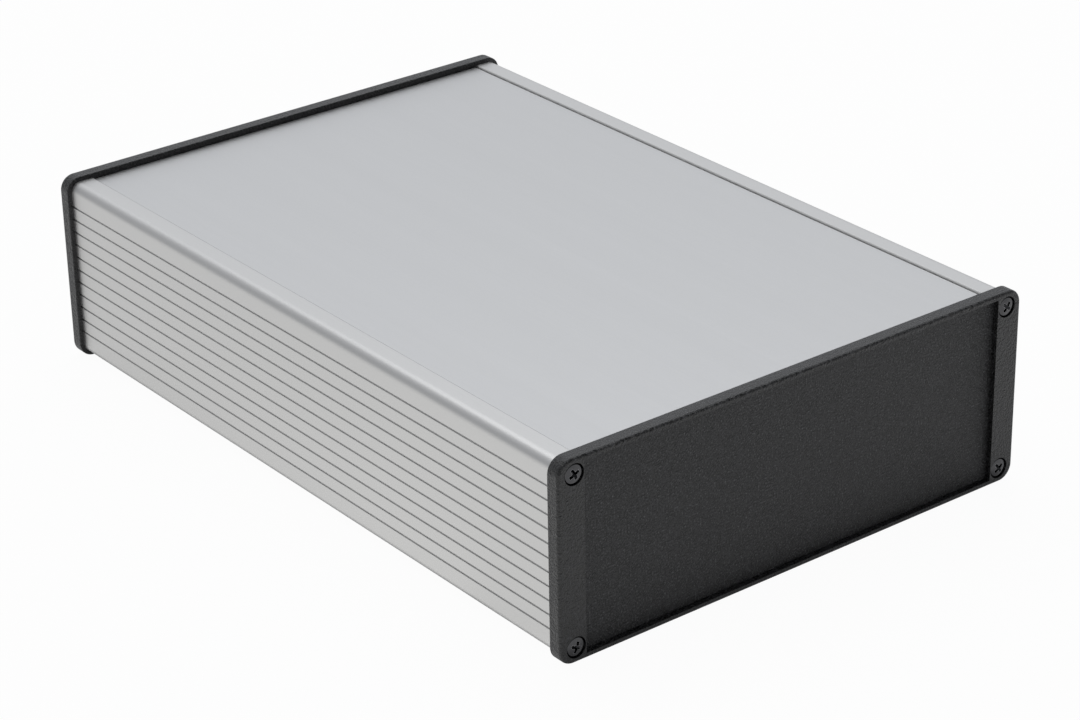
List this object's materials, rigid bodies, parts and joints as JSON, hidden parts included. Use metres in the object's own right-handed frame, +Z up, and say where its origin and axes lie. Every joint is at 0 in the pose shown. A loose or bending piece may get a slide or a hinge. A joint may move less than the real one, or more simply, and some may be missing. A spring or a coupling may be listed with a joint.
{
  "type": "extruded aluminium enclosure",
  "caption": "Flat rectangular extruded aluminium instrument case with grooved sides, a sliding lid and recessed black end panels held by screwed open bezels.",
  "frame": {"origin": "on the ground, under the middle of the case's bounding box", "axes": "+Z up, out of the lid; -Y out of the front end panel along the case's length; +X to the right seen from the front"},
  "size_m": [0.1546, 0.2286, 0.0561],
  "materials": {
    "satin_aluminium": "clear anodised satin with a fine grain",
    "bezel_plastic": "matt black moulded plastic with a spark-eroded texture",
    "panel_plastic": "matt black sheet plastic with a fine pebbled grain",
    "black_screw_steel": "black zinc plated, slightly glossy"
  },
  "bodies": {
    "root": {"body_extrusion": "satin_aluminium", "lid_plate": "satin_aluminium", "front_bezel": "bezel_plastic", "rear_bezel": "bezel_plastic", "front_panel": "panel_plastic", "rear_panel": "panel_plastic", "front_screw_top_left": "black_screw_steel", "front_screw_top_right": "black_screw_steel", "front_screw_bottom_left": "black_screw_steel", "front_screw_bottom_right": "black_screw_steel", "rear_screw_top_left": "black_screw_steel", "rear_screw_top_right": "black_screw_steel", "rear_screw_bottom_left": "black_screw_steel", "rear_screw_bottom_right": "black_screw_steel"}
  },
  "joints": []
}
